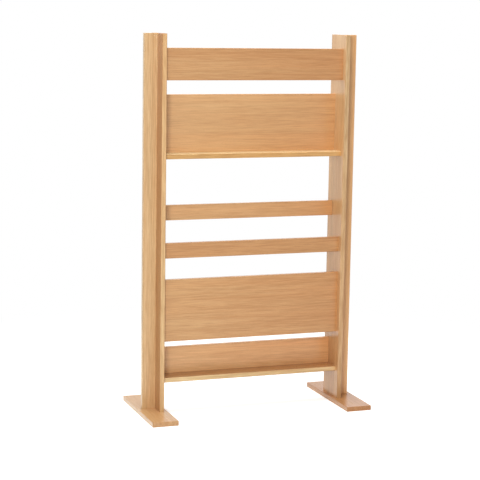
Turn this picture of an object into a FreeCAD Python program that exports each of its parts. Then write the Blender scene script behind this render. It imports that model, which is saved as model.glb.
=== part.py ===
"""Free-standing periodical display rack in solid wood, millimetres.

Two T-shaped posts stand on flat feet. Each post is a deep side board with a narrow web board
on its outer face. Eight cross boards span the bay between the posts, some in a front plane and
some in a back plane, so that periodicals stand on the two ledges between them. Each ledge is
tenoned into the face of the back panel behind it.

+Z is up, the front is -Y, +X is to the right. The origin is on the floor, midway between the feet.
"""

import math
import os

import FreeCAD
import Part

# --- stock and outline -------------------------------------------------------------------------
BOARD_THICKNESS = 18.0          # every board is planed from the same stock
BAY_WIDTH = 692.0               # clear width between the two side boards
SIDE_BOARD_DEPTH = 134.0        # front to back
WEB_WIDTH = 50.0                # how far the web stands out from the side board
FOOT_LENGTH = 400.0             # front to back
FOOT_MARGIN = 15.0              # foot showing on each side of the post
EASED_EDGE = 1.0                # width of the small chamfer on the broken edges

# --- how far the cross boards stand in from the edges of the side boards -----------------------
FRONT_INSET = 22.0              # front faces of the front boards and of both ledges
BACK_INSET = 22.0               # back faces of the back boards
UPPER_PANEL_INSET = 29.0        # back face of the upper back panel

# --- heights: the lower boards are set out up from the feet, the upper ones down from the top ----
POST_HEIGHT = 1382.0            # from the top of the feet
TOE_GAP = 104.0                 # feet to bottom ledge
BOTTOM_PANEL_SHOWING = 99.0     # above the bottom ledge
GAP_OVER_BOTTOM_PANEL = 37.0
LOWER_PANEL_HEIGHT = 231.0
GAP_OVER_LOWER_PANEL = 79.0
NARROW_RAIL_HEIGHT = 56.0
GAP_BETWEEN_NARROW_RAILS = 74.0
POST_ABOVE_TOP_RAIL = 51.0
TOP_RAIL_HEIGHT = 116.0
GAP_OVER_UPPER_PANEL = 54.0
UPPER_PANEL_SHOWING = 212.0     # above the upper ledge

# --- loose tenons, which join every pair of boards that meet -----------------------------------
TENON_THICKNESS = 6.0           # a third of the stock
TENON_WIDTH = 20.0
TENON_IN_FACE = 12.0            # length held by the board that is mortised through its face
TENON_IN_END = 23.0             # length held by the board that is mortised in its end or edge
TENON_FIT = 0.05                # clearance on each side in the mortise
GLUE_SPACE = 1.0                # mortise left free past each end of a tenon
TENON_CHAMFER = 1.0
END_TENON_MARGIN = 18.0         # middle of the first tenon to the edge of its board
END_TENON_PITCH_MIN = 28.0      # a board too narrow for two tenons this far apart gets one
END_TENON_PITCH_MAX = 100.0
LEDGE_TENON_MARGIN = 76.0       # middle of the first tenon in a ledge's back edge to its end
LEDGE_TENON_PITCH_MAX = 200.0
WEB_TENON_MARGIN = 66.0         # middle of the first web tenon to the end of the post
WEB_TENON_PITCH_MAX = 260.0

# --- screws up through the feet ----------------------------------------------------------------
SCREW_DIAMETER = 5.0
SCREW_LENGTH = 60.0
SCREW_HEAD_DIAMETER = 10.0
SCREW_HEAD_SINK = 0.6           # head's top below the foot's underside
SCREW_POINT = 6.0               # length of the tapered point
SCREW_FIT = 0.05                # radial clearance in the pilot bore and round the head
FOOT_HOLE_CLEARANCE = 0.25      # radial clearance of the shank in the foot
PILOT_SPARE = 2.0               # pilot bore left free past the point
SIDE_SCREW_MARGIN = 27.0        # screw's axis to the front and back edges of the side board
DRIVE_SLOT_WIDTH = 1.2
DRIVE_SLOT_LENGTH = 5.0
DRIVE_SLOT_DEPTH = 1.8

X_AXIS = FreeCAD.Vector(1, 0, 0)
Y_AXIS = FreeCAD.Vector(0, 1, 0)
Z_AXIS = FreeCAD.Vector(0, 0, 1)

# --- places that follow from the sizes ----------------------------------------------------------
bay_half = BAY_WIDTH / 2
side_outer = bay_half + BOARD_THICKNESS
web_outer = side_outer + WEB_WIDTH
side_front = -SIDE_BOARD_DEPTH / 2
side_back = SIDE_BOARD_DEPTH / 2
front_plane = side_front + FRONT_INSET
back_plane = side_back - BACK_INSET
upper_panel_back = side_back - UPPER_PANEL_INSET

foot_top = BOARD_THICKNESS
bottom_ledge_low = foot_top + TOE_GAP
bottom_panel_height = BOARD_THICKNESS + BOTTOM_PANEL_SHOWING
lower_panel_low = bottom_ledge_low + bottom_panel_height + GAP_OVER_BOTTOM_PANEL
lower_rail_low = lower_panel_low + LOWER_PANEL_HEIGHT + GAP_OVER_LOWER_PANEL
upper_rail_low = lower_rail_low + NARROW_RAIL_HEIGHT + GAP_BETWEEN_NARROW_RAILS
post_top = foot_top + POST_HEIGHT
top_rail_low = post_top - POST_ABOVE_TOP_RAIL - TOP_RAIL_HEIGHT
upper_panel_height = BOARD_THICKNESS + UPPER_PANEL_SHOWING
upper_ledge_low = top_rail_low - GAP_OVER_UPPER_PANEL - upper_panel_height

nodes = {}


def box(low, high):
    """Box between two opposite corners."""
    size = high - low
    return Part.makeBox(size.x, size.y, size.z, low)


def eased(solid, wanted):
    """Chamfer the edges whose middle point and direction satisfy wanted(middle, direction)."""
    edges = []
    for edge in solid.Edges:
        start, end = (vertex.Point for vertex in edge.Vertexes)
        if wanted((start + end) / 2, (end - start).normalize()):
            edges.append(edge)
    return solid.makeChamfer(EASED_EDGE, edges)


def along(direction, axis):
    """True where an edge of a box runs along an axis, and not square to it."""
    return round(abs(direction.dot(axis))) == 1


def spread(low, high, margin, pitch_min, pitch_max):
    """Evenly spaced places between two margins, or the middle where there is room for only one."""
    first = low + margin
    span = high - margin - first
    if span < pitch_min:
        return [(low + high) / 2]
    steps = math.ceil(span / pitch_max)
    return [first + span * step / steps for step in range(steps + 1)]


def block(mouth, inwards, width_axis, depth_out, depth_in, clearance):
    """Flat block across a glued face at mouth, from depth_out behind it to depth_in past it."""
    thickness_axis = inwards.cross(width_axis)
    half_width = width_axis * (TENON_WIDTH / 2 + clearance)
    half_thickness = thickness_axis * (TENON_THICKNESS / 2 + clearance)
    corner = mouth - inwards * depth_out - half_width - half_thickness
    opposite = mouth + inwards * depth_in + half_width + half_thickness
    low = FreeCAD.Vector(*map(min, corner, opposite))
    high = FreeCAD.Vector(*map(max, corner, opposite))
    return box(low, high)


def tenon_row(mouths, inwards, width_axis):
    """Loose tenons across a glued face, with their mortises on both sides of it.

    inwards points into the board that is mortised through its face, and width_axis is the way
    the tenons are wide.
    """
    tenons = []
    in_face = []
    in_end = []
    for mouth in mouths:
        tenon = block(mouth, inwards, width_axis, TENON_IN_END, TENON_IN_FACE, 0)
        tenons.append(tenon.makeChamfer(TENON_CHAMFER, tenon.Edges))
        in_face.append(block(mouth, inwards, width_axis, 0, TENON_IN_FACE + GLUE_SPACE, TENON_FIT))
        in_end.append(block(mouth, inwards, width_axis, TENON_IN_END + GLUE_SPACE, 0, TENON_FIT))
    return tenons, in_face, in_end


# --- posts --------------------------------------------------------------------------------------
def side_board(side):
    """Deep inner board of a post, with every edge but those on the foot eased."""
    inner, outer = sorted((side * bay_half, side * side_outer))
    low = FreeCAD.Vector(inner, side_front, foot_top)
    high = FreeCAD.Vector(outer, side_back, post_top)
    return eased(box(low, high), lambda middle, direction: middle.z > foot_top + EASED_EDGE)


def post_web(side):
    """Narrow outer board of a post, on edge against the middle of the side board."""
    inner, outer = sorted((side * side_outer, side * web_outer))
    low = FreeCAD.Vector(inner, -BOARD_THICKNESS / 2, foot_top)
    high = FreeCAD.Vector(outer, BOARD_THICKNESS / 2, post_top)

    def free(middle, direction):
        """Edges that touch neither the foot nor the side board."""
        off_foot = middle.z > foot_top + EASED_EDGE
        off_side_board = abs(middle.x) > side_outer + EASED_EDGE
        return off_foot and off_side_board

    return eased(box(low, high), free)


def web_mouths(side):
    """Places of the tenons along the glued face between the side board and its web."""
    heights = spread(foot_top, post_top, WEB_TENON_MARGIN, TENON_WIDTH, WEB_TENON_PITCH_MAX)
    return [FreeCAD.Vector(side * side_outer, 0, height) for height in heights]


# --- feet and their screws ----------------------------------------------------------------------
def foot(side):
    """Flat foot, centred under the post, eased all round."""
    inner, outer = sorted((side * (bay_half - FOOT_MARGIN), side * (web_outer + FOOT_MARGIN)))
    low = FreeCAD.Vector(inner, -FOOT_LENGTH / 2, 0)
    high = FreeCAD.Vector(outer, FOOT_LENGTH / 2, foot_top)
    return eased(box(low, high), lambda middle, direction: True)


def screw_places(side):
    """Two screws into the side board and one into the web, at floor level."""
    middle_of_side_board = side * (bay_half + side_outer) / 2
    middle_of_web = side * (side_outer + web_outer) / 2
    return [
        FreeCAD.Vector(middle_of_side_board, side_front + SIDE_SCREW_MARGIN, 0),
        FreeCAD.Vector(middle_of_side_board, side_back - SIDE_SCREW_MARGIN, 0),
        FreeCAD.Vector(middle_of_web, 0, 0),
    ]


def turned(place, outline):
    """Solid turned about the upright axis at place, from (radius, height) points."""
    points = [place + X_AXIS * radius + Z_AXIS * height for radius, height in outline]
    return Part.Face(Part.makePolygon(points + points[:1])).revolve(place, Z_AXIS, 360)


def screw(place):
    """Countersunk screw with a cross drive, pointing up."""
    head = SCREW_HEAD_DIAMETER / 2
    shank = SCREW_DIAMETER / 2
    neck = SCREW_HEAD_SINK + head - shank
    tip = SCREW_HEAD_SINK + SCREW_LENGTH
    blank = turned(place, [(0, SCREW_HEAD_SINK), (head, SCREW_HEAD_SINK), (shank, neck),
                           (shank, tip - SCREW_POINT), (0, tip)])
    slot = Part.makeBox(DRIVE_SLOT_LENGTH, DRIVE_SLOT_WIDTH, SCREW_HEAD_SINK + DRIVE_SLOT_DEPTH,
                        place - X_AXIS * DRIVE_SLOT_LENGTH / 2 - Y_AXIS * DRIVE_SLOT_WIDTH / 2)
    crossing = slot.copy()
    crossing.rotate(place, Z_AXIS, 90)
    return blank.cut([slot, crossing])


def foot_hole(place):
    """Clearance hole through the foot, countersunk from below for the sunk head."""
    head = SCREW_HEAD_DIAMETER / 2 + SCREW_FIT
    hole = SCREW_DIAMETER / 2 + FOOT_HOLE_CLEARANCE
    throat = SCREW_HEAD_SINK + head - hole
    return turned(place, [(0, 0), (head, 0), (head, SCREW_HEAD_SINK), (hole, throat),
                          (hole, foot_top), (0, foot_top)])


def pilot_bore(place):
    """Bore in the foot end of the post for the screw's shank."""
    depth = SCREW_HEAD_SINK + SCREW_LENGTH + PILOT_SPARE - foot_top
    return Part.makeCylinder(SCREW_DIAMETER / 2 + SCREW_FIT, depth, place + Z_AXIS * foot_top)


# --- cross boards -------------------------------------------------------------------------------
def cross_board(front, back, low, high, wanted):
    """Board across the bay, with the long edges eased for which wanted(middle) is true."""
    solid = box(FreeCAD.Vector(-bay_half, front, low), FreeCAD.Vector(bay_half, back, high))
    return eased(solid, lambda middle, direction: along(direction, X_AXIS) and wanted(middle))


def upright_board(front, low, height):
    """Rail or panel on edge, given its front face, its lower edge and its height."""
    return cross_board(front, front + BOARD_THICKNESS, low, low + height, lambda middle: True)


def ledge(panel, low):
    """Ledge from the front plane back to the face of its panel, square where it meets the panel."""
    back = panel.BoundBox.YMin
    return cross_board(front_plane, back, low, low + BOARD_THICKNESS,
                       lambda middle: middle.y < back - EASED_EDGE)


def end_mouths(side, board):
    """Tenon places on one end of a cross board, in a row along the longer side of that end."""
    bounds = board.BoundBox
    x = side * bay_half
    if bounds.ZLength > bounds.YLength:
        heights = spread(bounds.ZMin, bounds.ZMax, END_TENON_MARGIN, END_TENON_PITCH_MIN,
                         END_TENON_PITCH_MAX)
        return [FreeCAD.Vector(x, bounds.Center.y, height) for height in heights], Z_AXIS
    depths = spread(bounds.YMin, bounds.YMax, END_TENON_MARGIN, END_TENON_PITCH_MIN,
                    END_TENON_PITCH_MAX)
    return [FreeCAD.Vector(x, depth, bounds.Center.z) for depth in depths], Y_AXIS


def ledge_mouths(board):
    """Places of the tenons in the back edge of a ledge, where it meets its panel."""
    bounds = board.BoundBox
    places = spread(-bay_half, bay_half, LEDGE_TENON_MARGIN, TENON_WIDTH, LEDGE_TENON_PITCH_MAX)
    return [FreeCAD.Vector(place, bounds.YMax, bounds.Center.z) for place in places]


back_front = back_plane - BOARD_THICKNESS
bottom_back_panel = upright_board(back_front, bottom_ledge_low, bottom_panel_height)
upper_back_panel = upright_board(upper_panel_back - BOARD_THICKNESS, upper_ledge_low,
                                 upper_panel_height)
cross_boards = {
    "bottom_ledge": ledge(bottom_back_panel, bottom_ledge_low),
    "bottom_back_panel": bottom_back_panel,
    "lower_front_panel": upright_board(front_plane, lower_panel_low, LOWER_PANEL_HEIGHT),
    "lower_narrow_rail": upright_board(front_plane, lower_rail_low, NARROW_RAIL_HEIGHT),
    "upper_narrow_rail": upright_board(back_front, upper_rail_low, NARROW_RAIL_HEIGHT),
    "upper_ledge": ledge(upper_back_panel, upper_ledge_low),
    "upper_back_panel": upper_back_panel,
    "top_rail": upright_board(front_plane, top_rail_low, TOP_RAIL_HEIGHT),
}
cuts_in_board = {name: [] for name in cross_boards}

# Tenons in the back edge of each ledge hold it to the face of its back panel.
for word in ("bottom", "upper"):
    mouths = ledge_mouths(cross_boards[word + "_ledge"])
    tenons, in_panel, in_ledge = tenon_row(mouths, Y_AXIS, X_AXIS)
    nodes[word + "_panel_ledge_tenons"] = Part.makeCompound(tenons)
    cuts_in_board[word + "_back_panel"] += in_panel
    cuts_in_board[word + "_ledge"] += in_ledge

# Each post takes the tenons of every cross board, its own web's tenons and the foot's screws.
end_tenons = {name: [] for name in cross_boards}
for side, word in ((-1, "left"), (1, "right")):
    outwards = X_AXIS * side
    cuts_in_side_board = []
    for name, board in cross_boards.items():
        mouths, width_axis = end_mouths(side, board)
        tenons, in_side_board, in_end = tenon_row(mouths, outwards, width_axis)
        end_tenons[name] += tenons
        cuts_in_side_board += in_side_board
        cuts_in_board[name] += in_end
    tenons, in_side_board, in_web = tenon_row(web_mouths(side), -outwards, Z_AXIS)
    nodes[word + "_web_tenons"] = Part.makeCompound(tenons)
    cuts_in_side_board += in_side_board
    places = screw_places(side)
    nodes[word + "_foot_screws"] = Part.makeCompound([screw(place) for place in places])
    pilots = [pilot_bore(place) for place in places]
    nodes[word + "_side_board"] = side_board(side).cut(cuts_in_side_board + pilots)
    nodes[word + "_post_web"] = post_web(side).cut(in_web + pilots)
    nodes[word + "_foot"] = foot(side).cut([foot_hole(place) for place in places])

for name, board in cross_boards.items():
    nodes[name] = board.cut(cuts_in_board[name])
    nodes[name + "_tenons"] = Part.makeCompound(end_tenons[name])

os.makedirs("parts", exist_ok=True)
for name, shape in nodes.items():
    shape.exportStep("parts/" + name + ".step")
    print(name, "solids", len(shape.Solids), "valid", shape.isValid())
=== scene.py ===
"""Periodical rack in lacquered oak, in a plain pale studio.

Metres, +Z up, the front is -Y. Every board keeps the place and size of its solid.
"""
import math

import bpy
from mathutils import Euler, Matrix, Vector


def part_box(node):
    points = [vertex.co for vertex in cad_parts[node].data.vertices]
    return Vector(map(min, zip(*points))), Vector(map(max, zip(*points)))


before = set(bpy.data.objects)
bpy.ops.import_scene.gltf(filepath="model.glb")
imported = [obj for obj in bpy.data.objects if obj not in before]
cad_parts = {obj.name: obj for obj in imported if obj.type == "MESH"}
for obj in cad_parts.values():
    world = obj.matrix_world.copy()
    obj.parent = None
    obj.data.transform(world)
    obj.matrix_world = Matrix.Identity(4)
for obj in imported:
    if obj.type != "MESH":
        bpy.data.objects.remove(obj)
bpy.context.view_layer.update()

# --- camera ---------------------------------------------------------------------------------------
CAMERA_PLACE = Vector((-1.92785, -5.22568, 1.49117))
CAMERA_TURN = math.radians(19.907)      # from straight ahead towards +X
CAMERA_TILT = math.radians(-8.736)      # from level, and minus is down
CAMERA_ROLL = math.radians(0.921)       # anticlockwise, seen from behind the camera
CAMERA_LENS = 112.95                    # mm, as the sensor is
SENSOR_WIDTH = 36.0

# --- floor, world and lamps -----------------------------------------------------------------------
FLOOR_WIDTH = 16.0
FLOOR_COLOUR = (0.86, 0.86, 0.85, 1.0)
FLOOR_LIFT = 0.56                       # added where the floor is seen, so that only shadow is grey
FLOOR_FADE = (0.9, 1.9)                 # from the middle, where it begins to turn white and is white
WORLD_COLOUR = (1.0, 1.0, 1.0, 1.0)
WORLD_FILL = 0.27                       # its strength as a light, and where it is seen it is 1
SOFTBOXES = {
    "key_softbox": dict(place=(-1.7, -3.2, 1.8), aim_height=0.75, size=(0.7, 1.3), watts=67.0),
    "front_softbox": dict(place=(0.0, -5.5, 0.9), aim_height=0.7, size=(2.4, 1.6), watts=6.0),
    "top_softbox": dict(place=(-0.45, -0.1, 3.7), aim_height=0.7, size=(2.0, 1.8), watts=104.0,
                        mirrored=False),
    "back_left_softbox": dict(place=(-2.2, 2.6, 2.2), aim_height=0.9, size=(1.6, 1.6), watts=20.0),
    "back_right_softbox": dict(place=(2.4, 2.6, 2.2), aim_height=0.9, size=(1.6, 1.6), watts=16.0),
}

# --- oak: colours ---------------------------------------------------------------------------------
OAK_PALE = (0.685, 0.400, 0.180)
OAK_DARK = (0.505, 0.260, 0.100)
OAK_PORE = (0.30, 0.145, 0.055)
OAK_ROSE = (1.015, 0.935, 0.875)        # this, OAK_END and OAK_WORN multiply the colour under them
OAK_END = (0.89, 0.83, 0.78)
OAK_WORN = (0.90, 0.82, 0.74)
STRAW_RISE = (0.0, 1.0, 2.0)            # part of a board's straw that is added to red, green and blue
EDGE_RISE = (0.5, 1.0, 1.5)             # the same for its edge
PAINTED_DRIFT_FALL = (0.3, 1.0, 1.6)            # part of its drift, painted shade, that they lose at its high end
ROSE_STRENGTH = 2.4
PORE_SHADE = 0.45
WORN_SHADE = 0.6
BLOTCH_STRENGTH = 3.0

# --- oak: figure. Waves are per metre, along the trunk and then across it -------------------------
RING_WIDTH = 0.0026
RING_WAVES = (((1.3, 5.0), 0.014), ((6.0, 45.0), 0.0007))      # waves, and how far they push a ring
EARLY_WOOD = (0.0, 0.12, 0.30, 0.70)    # where in a ring it begins, is full, thins and is gone
STREAKS = (((1.2, 20.0), 0.75), ((2.0, 60.0), 0.7), ((4.0, 180.0), 1.2), ((14.0, 650.0), 2.2))
EARLY_TONE = 0.12                       # how much darker early wood is, as a streak
ROUND_PITH = 0.12                       # how fast the streaks change round the pith
ROSE_WAVES = (1.5, 30.0)
VESSELS = (110.0, 1300.0, 1300.0)       # per metre, along each axis of the log
VESSEL_WALL = (0.14, 0.36)              # where it begins and ends, as a part of the vessel's cell
EARLY_PORES = 0.75                      # how much deeper pores are in early wood than in late
LATE_PORES = 0.15
FIBRES = (40.0, 1500.0)
FIBRE_HEIGHT = 0.5
BLOTCHES = (120.0, 120.0)
STAVE_SHIFT = Vector((1.7, 0.0, 0.03))  # from one stave of a panel to the next, in the log

# --- oak: lacquer and wear ------------------------------------------------------------------------
OAK_ROUGHNESS = 0.31
OAK_ROUGHER = (0.10, 0.25, 0.15, 0.10)  # added by dark streaks, pores, end grain and worn arrises
OAK_RELIEF = (0.35, 0.0002)             # strength, and depth
OAK_GLOSS = {"IOR": 1.5, "Coat Weight": 0.25, "Coat Roughness": 0.22, "Coat IOR": 1.5}
ARRIS_WEAR = (0.00048, 0.0024)          # in from an arris: the wear begins to ease, and is gone
WEAR_WAVES = (90.0, 90.0)
JOINED_END = 1.0                        # puts the arrises of a joined end out of reach
FACING = (0.75, 0.95)                   # cosine to an axis at which a face begins to count, and counts

# --- beech and zinc -------------------------------------------------------------------------------
BEECH_PALE = (0.60, 0.38, 0.22)
BEECH_DARK = (0.47, 0.27, 0.145)
BEECH_FLECK = (0.36, 0.18, 0.09)
BEECH_BANDS = (12.0, 120.0)
BEECH_FIBRES = (60.0, 700.0)
FLECKS = (350.0, 1400.0)
FLECK_EDGE = (0.10, 0.18)
FLECK_SHADE = 0.5
BEECH_ROUGHNESS = 0.62
BEECH_ROUGHER = 0.12                    # added by dark streaks
BEECH_RELIEF = (0.3, 0.0001)
BEECH_GLOSS = {"IOR": 1.45}
ZINC_BRIGHT = (0.74, 0.75, 0.76)
ZINC_CLOUDED = (0.60, 0.61, 0.64)
CLOUDS = (900.0, 900.0)
SCUFFS = (400.0, 2600.0)
SCUFF_EDGE = (0.12, 0.22)
ZINC_ROUGHNESS = 0.32
ZINC_ROUGHER = (0.25, 0.2)              # added by clouds and scuffs
ZINC_RELIEF = (0.2, 0.00005)
ZINC_GLOSS = {"Metallic": 1.0}

NOISE_ROUGHNESS = 0.55
FINE_DETAIL = 3.0                       # octaves past the first
PLAIN_DETAIL = 2.0
COARSE_DETAIL = 1.0
MIX_SHARE, MIX_FIRST, MIX_SECOND, MIX_RESULT = 0, 6, 7, 2      # sockets of a Mix node for colours
GRAIN_TURNS = (Euler((0, 0, 0)), Euler((0, 0, -math.pi / 2)), Euler((0, math.pi / 2, 0)))  # X, Y or Z to X


# --- small helpers for shader nodes ---------------------------------------------------------------
def shader_node(tree, kind, inputs=None, **settings):
    """Add a shader node, set its properties, and fill its sockets with values or links."""
    made = tree.nodes.new("ShaderNode" + kind)
    for name, value in settings.items():
        setattr(made, name, value)
    for socket, value in (inputs or {}).items():
        if isinstance(value, bpy.types.NodeSocket):
            tree.links.new(value, made.inputs[socket])
        else:
            made.inputs[socket].default_value = value
    return made


def maths(tree, operation, first, second=0.0, third=0.0):
    """Result of a Math node."""
    return shader_node(tree, "Math", {0: first, 1: second, 2: third}, operation=operation).outputs[0]


def add_up(tree, start, weighted):
    """Start, with each value added to it by its weight."""
    for value, weight in weighted:
        start = maths(tree, "MULTIPLY_ADD", value, weight, start)
    return start


def about_half(tree, value, strength=1.0):
    """Share that is a half where the value is 0."""
    return maths(tree, "MULTIPLY_ADD", value, strength, 0.5)


def step(tree, value, low, high, falling=False):
    """Smooth step of a value: 0 up to low and 1 past high, or the other way round if falling."""
    inputs = {"Value": value, "From Min": low, "From Max": high,
              "To Min": float(falling), "To Max": float(not falling)}
    return shader_node(tree, "MapRange", inputs, interpolation_type="SMOOTHSTEP").outputs["Result"]


def vector_maths(tree, operation, first, second=(0.0, 0.0, 0.0)):
    """Vector result of a Vector Math node."""
    return shader_node(tree, "VectorMath", {0: first, 1: second}, operation=operation).outputs[0]


def length(tree, vector):
    """Length of a vector."""
    return shader_node(tree, "VectorMath", {0: vector}, operation="LENGTH").outputs["Value"]


def split(tree, vector):
    """X, Y and Z of a vector."""
    return shader_node(tree, "SeparateXYZ", {0: vector}).outputs


def noise(tree, place, waves, detail=PLAIN_DETAIL):
    """Fractal noise about 0, with so many waves per metre along the grain and across it."""
    along, across = waves
    scaled = vector_maths(tree, "MULTIPLY", place, (along, across, across))
    inputs = {"Vector": scaled, "Scale": 1.0, "Detail": detail, "Roughness": NOISE_ROUGHNESS}
    return maths(tree, "SUBTRACT", shader_node(tree, "TexNoise", inputs).outputs[0], 0.5)


def mix_colour(tree, share, first, second, blend="MIX"):
    """Mix of two colours."""
    inputs = {MIX_SHARE: share}
    for socket, colour in ((MIX_FIRST, first), (MIX_SECOND, second)):
        inputs[socket] = colour if isinstance(colour, bpy.types.NodeSocket) else (*colour, 1.0)
    made = shader_node(tree, "Mix", inputs, data_type="RGBA", blend_type=blend)
    return made.outputs[MIX_RESULT]


def tinted(tree, colour, tint, share=1.0):
    """Colour multiplied by a tint, wholly or by a share."""
    return mix_colour(tree, share, colour, tint, "MULTIPLY")


def new_material(name):
    """Empty node material, its tree, and the place of each point in the object."""
    made = bpy.data.materials.new(name)
    made.use_nodes = True
    tree = made.node_tree
    tree.nodes.clear()
    return made, tree, shader_node(tree, "TexCoord").outputs["Object"]


def surface(tree, colour, rough, height, relief, gloss):
    """Shader and output of a material, whose relief has a strength and a depth."""
    strength, depth = relief
    bump = shader_node(tree, "Bump", {"Strength": strength, "Distance": depth, "Height": height})
    shader = shader_node(tree, "BsdfPrincipled", {
        "Base Color": colour, "Roughness": rough, "Normal": bump.outputs[0], **gloss})
    shader_node(tree, "OutputMaterial", {"Surface": shader.outputs[0]})


# --- oak ------------------------------------------------------------------------------------------
def oak_figure():
    """Group that turns a place in the log into the figure of oak.

    Place is in metres, with X along the trunk and the pith on the line Y = Z = 0.
    Tone and Warmth vary about 0, Pore is 0 between the pores, and Relief is lower in them.
    """
    group = bpy.data.node_groups.new("oak_figure", "ShaderNodeTree")
    group.interface.new_socket("Place", in_out="INPUT", socket_type="NodeSocketVector")
    for name in ("Tone", "Warmth", "Pore", "Relief"):
        group.interface.new_socket(name, in_out="OUTPUT", socket_type="NodeSocketFloat")
    place = group.nodes.new("NodeGroupInput").outputs["Place"]
    leave = group.nodes.new("NodeGroupOutput")

    # Growth rings: distance from the pith, made uneven by slow waves of the trunk.
    x, y, z = split(group, place)
    radius = length(group, vector_maths(group, "MULTIPLY", place, (0.0, 1.0, 1.0)))
    radius = add_up(group, radius, [(noise(group, place, waves), push) for waves, push in RING_WAVES])
    season = maths(group, "FRACT", maths(group, "DIVIDE", radius, RING_WIDTH))
    begins, full, thins, gone = EARLY_WOOD
    early = maths(group, "MULTIPLY", step(group, season, begins, full),
                  step(group, season, thins, gone, falling=True))

    # Streaks follow the rings, from bands two fingers wide to single fibres.
    round_pith = maths(group, "MULTIPLY", maths(group, "ADD", y, z), ROUND_PITH)
    ringwise = shader_node(group, "CombineXYZ", {0: x, 1: radius, 2: round_pith}).outputs[0]
    streaks = [(noise(group, ringwise, waves), strength) for waves, strength in STREAKS]
    tone = add_up(group, 0.0, streaks + [(early, EARLY_TONE)])
    warmth = noise(group, ringwise, ROSE_WAVES, FINE_DETAIL)

    # Pores are long thin vessels, most of them in the early wood.
    stretched = vector_maths(group, "MULTIPLY", place, VESSELS)
    cells = shader_node(group, "TexVoronoi", {"Vector": stretched, "Scale": 1.0, "Randomness": 1.0})
    vessel = step(group, cells.outputs["Distance"], *VESSEL_WALL, falling=True)
    pore_depth = maths(group, "MULTIPLY_ADD", early, EARLY_PORES, LATE_PORES)
    pore = maths(group, "MULTIPLY", vessel, pore_depth)
    fibre = about_half(group, noise(group, place, FIBRES), FIBRE_HEIGHT)
    relief = maths(group, "SUBTRACT", fibre, pore)

    for name, value in (("Tone", tone), ("Warmth", warmth), ("Pore", pore), ("Relief", relief)):
        group.links.new(value, leave.inputs[name])
    return group


OAK_FIGURE = oak_figure()


class Board:
    """Box of a board's solid, and the two axes along which it is wide and long."""

    def __init__(self, node):
        self.low, self.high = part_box(node)
        self.size = self.high - self.low
        self.middle = (self.low + self.high) / 2
        self.wide, self.long = sorted(range(3), key=lambda axis: self.size[axis])[1:]


def lay_in_log(tree, place, board, pith, tilt):
    """Place in the log of each point of a board, whose middle lies at pith.

    The board's length follows the trunk, apart from a small tilt about the other two axes.
    """
    turn = Euler((0, *tilt)).to_matrix() @ GRAIN_TURNS[board.long].to_matrix()
    seat = shader_node(tree, "Mapping", {
        "Vector": place, "Rotation": turn.to_euler(), "Location": Vector(pith) - turn @ board.middle})
    return seat.outputs["Vector"]


def glue_up(tree, place, in_log, board, staves):
    """Place in the log, and tint, of a panel that is glued up from staves.

    Each stave but the lowest is given by the share of the width below it, and its tint.
    """
    height = split(tree, place)[board.wide]
    tint = (1.0, 1.0, 1.0)
    for below, stave_tint in staves:
        joint = board.low[board.wide] + below * board.size[board.wide]
        above = maths(tree, "GREATER_THAN", height, joint)
        shift = shader_node(tree, "VectorMath", {0: STAVE_SHIFT, "Scale": above}, operation="SCALE")
        in_log = vector_maths(tree, "ADD", in_log, shift.outputs[0])
        tint = mix_colour(tree, above, tint, stave_tint)
    return in_log, tint


def face_masks(tree):
    """For X, Y and Z: 1 on the faces that look along that axis and 0 on the others."""
    normal = shader_node(tree, "TexCoord").outputs["Normal"]
    return [step(tree, maths(tree, "ABSOLUTE", part), *FACING) for part in split(tree, normal)]


def worn_arrises(tree, place, board, free_ends):
    """1 along a board's arrises and 0 on the faces between them.

    A point lies near an arris where the middle one of its depths from the faces, measured along
    X, Y and Z, is small. The arrises round the two ends count only where the ends are free.
    """
    eases, gone = ARRIS_WEAR
    half_size = board.size / 2
    if not free_ends:
        half_size[board.long] += JOINED_END
    from_middle = vector_maths(tree, "ABSOLUTE", vector_maths(tree, "SUBTRACT", place, board.middle))
    x, y, z = split(tree, vector_maths(tree, "SUBTRACT", half_size, from_middle))
    smaller = maths(tree, "MINIMUM", x, y)
    larger = maths(tree, "MAXIMUM", x, y)
    middle = maths(tree, "MAXIMUM", smaller, maths(tree, "MINIMUM", larger, z))
    uneven = maths(tree, "MULTIPLY_ADD", noise(tree, place, WEAR_WAVES), gone, middle)
    return step(tree, uneven, eases, gone, falling=True)


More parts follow.
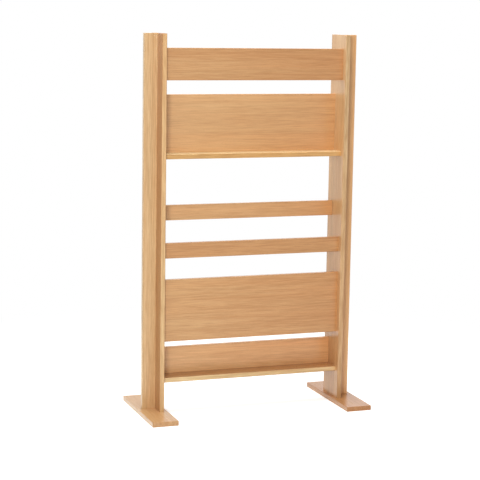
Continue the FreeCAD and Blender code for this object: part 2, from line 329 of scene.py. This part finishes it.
def oak(node, pith, tilt=(0.0, 0.0), light=1.0, straw=0.0, edge=0.10, painted_light_drift=0.0, figured=1.0,
        free_ends=False, staves=()):
    """Satin lacquered oak for one board, cut from its own place in the log.

    Light is how pale the board is, straw how much less red, edge how much paler its narrow
    edges are than its faces, drift how much redder and darker it gets from its middle to its
    high end as painted shade, or paler as painted light where it is negative, and figured how
    strong its streaks are. On a few boards light, straw and edge also carry painted light or
    shade, paling or darkening a top or a face by how the lamps fall on it.
    """
    material, tree, place = new_material("oak_" + node)
    board = Board(node)
    in_log = lay_in_log(tree, place, board, pith, tilt)
    in_log, stave_tint = glue_up(tree, place, in_log, board, staves)
    figure = shader_node(tree, "Group", {"Place": in_log}, node_tree=OAK_FIGURE)
    tone, warmth, pore, relief = figure.outputs

    # Streaks, then rosy bands, then pores.
    shade = [light * (1.0 + straw * rise) for rise in STRAW_RISE]
    pale = [value * part for value, part in zip(OAK_PALE, shade)]
    dark = [value * part for value, part in zip(OAK_DARK, shade)]
    colour = mix_colour(tree, about_half(tree, tone, figured), pale, dark)
    colour = tinted(tree, colour, OAK_ROSE, about_half(tree, warmth, ROSE_STRENGTH))
    colour = mix_colour(tree, maths(tree, "MULTIPLY", pore, PORE_SHADE), colour, OAK_PORE)

    # What differs from stave to stave, the painted shade along the board, and the tone from its faces to
    # its narrow edges.
    faces = face_masks(tree)
    if staves:
        colour = tinted(tree, colour, stave_tint)
    # Painted shade: the board grows redder and darker towards its high end, where less light and sheen
    # fall, or paler, as painted light, where the drift is negative.
    if painted_light_drift:
        ends = [[1.0 + sign * painted_light_drift * fall for fall in PAINTED_DRIFT_FALL] for sign in (1, -1)]
        along = step(tree, split(tree, place)[board.long], board.low[board.long], board.high[board.long])
        colour = tinted(tree, colour, mix_colour(tree, along, *ends))
    # The narrow edges' own tone; on a few boards it also lifts or lowers the edges beside faces that carry
    # painted shade or painted light.
    colour = tinted(tree, colour, [1.0 + edge * rise for rise in EDGE_RISE], faces[board.wide])

    # End grain and worn arrises soak up more lacquer, so they are darker and less smooth.
    end = faces[board.long]
    blotches = maths(tree, "MULTIPLY_ADD", noise(tree, place, BLOTCHES), BLOTCH_STRENGTH, 1.0)
    colour = tinted(tree, colour, OAK_END, maths(tree, "MULTIPLY", end, blotches))
    worn = worn_arrises(tree, place, board, free_ends)
    colour = tinted(tree, colour, OAK_WORN, maths(tree, "MULTIPLY", worn, WORN_SHADE))

    rough = add_up(tree, OAK_ROUGHNESS, zip((tone, pore, end, worn), OAK_ROUGHER))
    surface(tree, colour, rough, relief, OAK_RELIEF, OAK_GLOSS)
    return material


# --- beech and zinc -------------------------------------------------------------------------------
def beech(grain):
    """Bare beech of the loose tenons, with the grain along the axis given."""
    material, tree, place = new_material("beech_along_" + "xyz"[grain])
    laid = shader_node(tree, "Mapping", {"Vector": place, "Rotation": GRAIN_TURNS[grain]}).outputs["Vector"]
    tone = maths(tree, "ADD", noise(tree, laid, BEECH_BANDS), noise(tree, laid, BEECH_FIBRES))
    fleck = step(tree, noise(tree, laid, FLECKS, COARSE_DETAIL), *FLECK_EDGE)
    colour = mix_colour(tree, about_half(tree, tone), BEECH_PALE, BEECH_DARK)
    colour = mix_colour(tree, maths(tree, "MULTIPLY", fleck, FLECK_SHADE), colour, BEECH_FLECK)
    rough = add_up(tree, BEECH_ROUGHNESS, [(tone, BEECH_ROUGHER)])
    surface(tree, colour, rough, tone, BEECH_RELIEF, BEECH_GLOSS)
    return material


def zinc():
    """Bright zinc plate of the screws, with the cloud of the bath and the scuffs of the driver."""
    material, tree, place = new_material("zinc_plate")
    cloud = noise(tree, place, CLOUDS, FINE_DETAIL)
    scuff = step(tree, noise(tree, place, SCUFFS), *SCUFF_EDGE)
    colour = mix_colour(tree, about_half(tree, cloud), ZINC_BRIGHT, ZINC_CLOUDED)
    rough = add_up(tree, ZINC_ROUGHNESS, zip((cloud, scuff), ZINC_ROUGHER))
    surface(tree, colour, rough, scuff, ZINC_RELIEF, ZINC_GLOSS)
    return material


# --- dressing the solids --------------------------------------------------------------------------
def dress(node, material):
    """Give a solid's own mesh its finish."""
    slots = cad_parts[node].data.materials
    slots.clear()
    slots.append(material)


# Pith says where each board's middle lies in the log: along the trunk, then off the pith both ways.
# A pith far out in the board's width gives straight grain, and one behind its face gives arcs.
# Light, straw and edge were fitted to the rack as these lamps light it, so besides each board's own tone
# some of them carry painted light or shade, as noted. Drift is painted shade: a board grows redder and
# darker towards its +X end or its top, where less light and sheen fall, and paler, as painted light, where
# it is negative.
BOARDS = {
    "left_foot": dict(pith=(0.3, 0.21, 0.05), light=0.97, straw=0.10, free_ends=True),
    "right_foot": dict(pith=(1.3, -0.24, 0.06), light=0.85, straw=-0.11, free_ends=True),
    # Painted shade: its low light and straw darken its outer face, where little light reaches, and its
    # large edge lifts its front edge back.
    "left_side_board": dict(pith=(2.1, 0.26, 0.04), light=0.755, straw=-0.10, edge=0.84, painted_light_drift=0.05,
                            free_ends=True),
    "right_side_board": dict(pith=(3.2, -0.23, 0.05), light=0.94, straw=0.095, painted_light_drift=-0.08, figured=1.3,
                             free_ends=True),
    "left_post_web": dict(pith=(4.4, 0.03, 0.25), light=1.05, straw=0.20, figured=1.4, free_ends=True),
    # Its light is partly painted light: it lifts the shade that the right side board casts on the web's
    # front.
    "right_post_web": dict(pith=(5.1, -0.02, 0.22), light=1.27, straw=0.025, free_ends=True),
    "top_rail": dict(pith=(6.2, 0.05, 0.28), tilt=(0.0, 0.006), light=0.88, straw=-0.045, painted_light_drift=0.07),
    "upper_back_panel": dict(pith=(14.2, 0.05, 0.34), tilt=(0.006, 0.0), light=1.08, straw=0.03, painted_light_drift=0.05,
                             figured=0.8, staves=((0.36, (0.98, 0.98, 0.98)), (0.68, (1.02, 1.04, 1.06)))),
    # Painted light: its high light and straw make its top pale, where the top softbox lights it, and its
    # negative edge keeps its front edge darker.
    "upper_ledge": dict(pith=(8.1, 0.21, 0.05), light=1.26, straw=0.41, edge=-0.43, painted_light_drift=0.05),
    "upper_narrow_rail": dict(pith=(9.4, 0.03, 0.24), light=1.10, straw=0.02, painted_light_drift=0.10),
    "lower_narrow_rail": dict(pith=(10.2, 0.04, 0.26), light=0.89, straw=-0.06, figured=1.35),
    "lower_front_panel": dict(pith=(11.3, 0.13, 0.22), tilt=(0.004, 0.012), light=0.95, straw=-0.03,
                              painted_light_drift=0.08, staves=((0.44, (1.0, 0.99, 0.98)), (0.80, (1.02, 1.01, 1.0)))),
    "bottom_back_panel": dict(pith=(12.2, 0.12, 0.13), tilt=(-0.01, 0.02), light=1.19, straw=0.02,
                              painted_light_drift=0.08, figured=0.8),
    # Painted shade: its low light and straw darken its top, which lies in shade under the lower front
    # panel, and its large edge lifts its front edge back.
    "bottom_ledge": dict(pith=(13.1, 0.22, 0.05), light=0.66, straw=-0.11, edge=1.52, painted_light_drift=0.04),
}
for board, cut in BOARDS.items():
    dress(board, oak(board, **cut))

BEECH_ALONG_X = beech(0)
BEECH_ALONG_Y = beech(1)
ZINC_PLATE = zinc()
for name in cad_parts:
    if name.endswith("_panel_ledge_tenons"):
        dress(name, BEECH_ALONG_Y)
    elif name.endswith("_tenons"):
        dress(name, BEECH_ALONG_X)
    elif name.endswith("_screws"):
        dress(name, ZINC_PLATE)


# --- studio ---------------------------------------------------------------------------------------
def seen_share(tree):
    """1 where a surface is seen, directly or in a gloss, and 0 where it only lights the rack."""
    path = shader_node(tree, "LightPath")
    seen = maths(tree, "MAXIMUM", path.outputs["Is Camera Ray"], path.outputs["Is Glossy Ray"])
    return maths(tree, "MAXIMUM", seen, path.outputs["Is Transmission Ray"])


def lay_floor():
    """White floor that keeps the rack's shadow and fades into the white round it."""
    bpy.ops.object.select_all(action="DESELECT")
    bpy.ops.mesh.primitive_plane_add(size=FLOOR_WIDTH, location=(0.0, 0.0, 0.0))
    floor = bpy.context.active_object
    floor.name = "floor"
    material, tree, place = new_material("studio_floor")
    seen = seen_share(tree)
    matt = shader_node(tree, "BsdfDiffuse", {"Color": FLOOR_COLOUR})
    lift = shader_node(tree, "Emission", {"Strength": maths(tree, "MULTIPLY", seen, FLOOR_LIFT)})
    near = shader_node(tree, "AddShader", {0: matt.outputs[0], 1: lift.outputs[0]})
    far = shader_node(tree, "Emission", {"Strength": 1.0})
    share = maths(tree, "MULTIPLY", step(tree, length(tree, place), *FLOOR_FADE), seen)
    faded = shader_node(tree, "MixShader", {0: share, 1: near.outputs[0], 2: far.outputs[0]})
    shader_node(tree, "OutputMaterial", {"Surface": faded.outputs[0]})
    floor.data.materials.append(material)


def set_world():
    """Even white fill, which is seen as plain white."""
    world = bpy.data.worlds.new("studio_world")
    bpy.context.scene.world = world
    world.use_nodes = True
    tree = world.node_tree
    tree.nodes.clear()
    strength = maths(tree, "MULTIPLY_ADD", seen_share(tree), 1.0 - WORLD_FILL, WORLD_FILL)
    glow = shader_node(tree, "Background", {"Color": WORLD_COLOUR, "Strength": strength})
    shader_node(tree, "OutputWorld", {"Surface": glow.outputs[0]})


def hang_softbox(name, place, aim_height, size, watts, mirrored=True):
    """Large rectangular lamp, aimed at the rack's middle line.

    It isn't seen, and may be mirrored in the lacquer.
    """
    light = bpy.data.lights.new(name, "AREA")
    light.shape = "RECTANGLE"
    light.size, light.size_y = size
    light.energy = watts
    softbox = bpy.data.objects.new(name, light)
    bpy.context.scene.collection.objects.link(softbox)
    aim = Vector((0.0, 0.0, aim_height)) - Vector(place)
    softbox.location = place
    softbox.rotation_euler = aim.to_track_quat("-Z", "Y").to_euler()
    softbox.visible_camera = False
    softbox.visible_glossy = mirrored


def set_camera():
    """Camera in front, to the left and a little above the rack."""
    lens = bpy.data.cameras.new("camera")
    lens.lens = CAMERA_LENS
    lens.sensor_width = SENSOR_WIDTH
    camera = bpy.data.objects.new("camera", lens)
    bpy.context.scene.collection.objects.link(camera)
    turned = Matrix.Rotation(-CAMERA_TURN, 4, "Z") @ Matrix.Rotation(math.pi / 2 + CAMERA_TILT, 4, "X")
    camera.matrix_world = Matrix.Translation(CAMERA_PLACE) @ turned @ Matrix.Rotation(CAMERA_ROLL, 4, "Z")
    bpy.context.scene.camera = camera


lay_floor()
set_world()
for name, lamp in SOFTBOXES.items():
    hang_softbox(name, **lamp)
set_camera()
bpy.context.scene.view_settings.view_transform = "Standard"
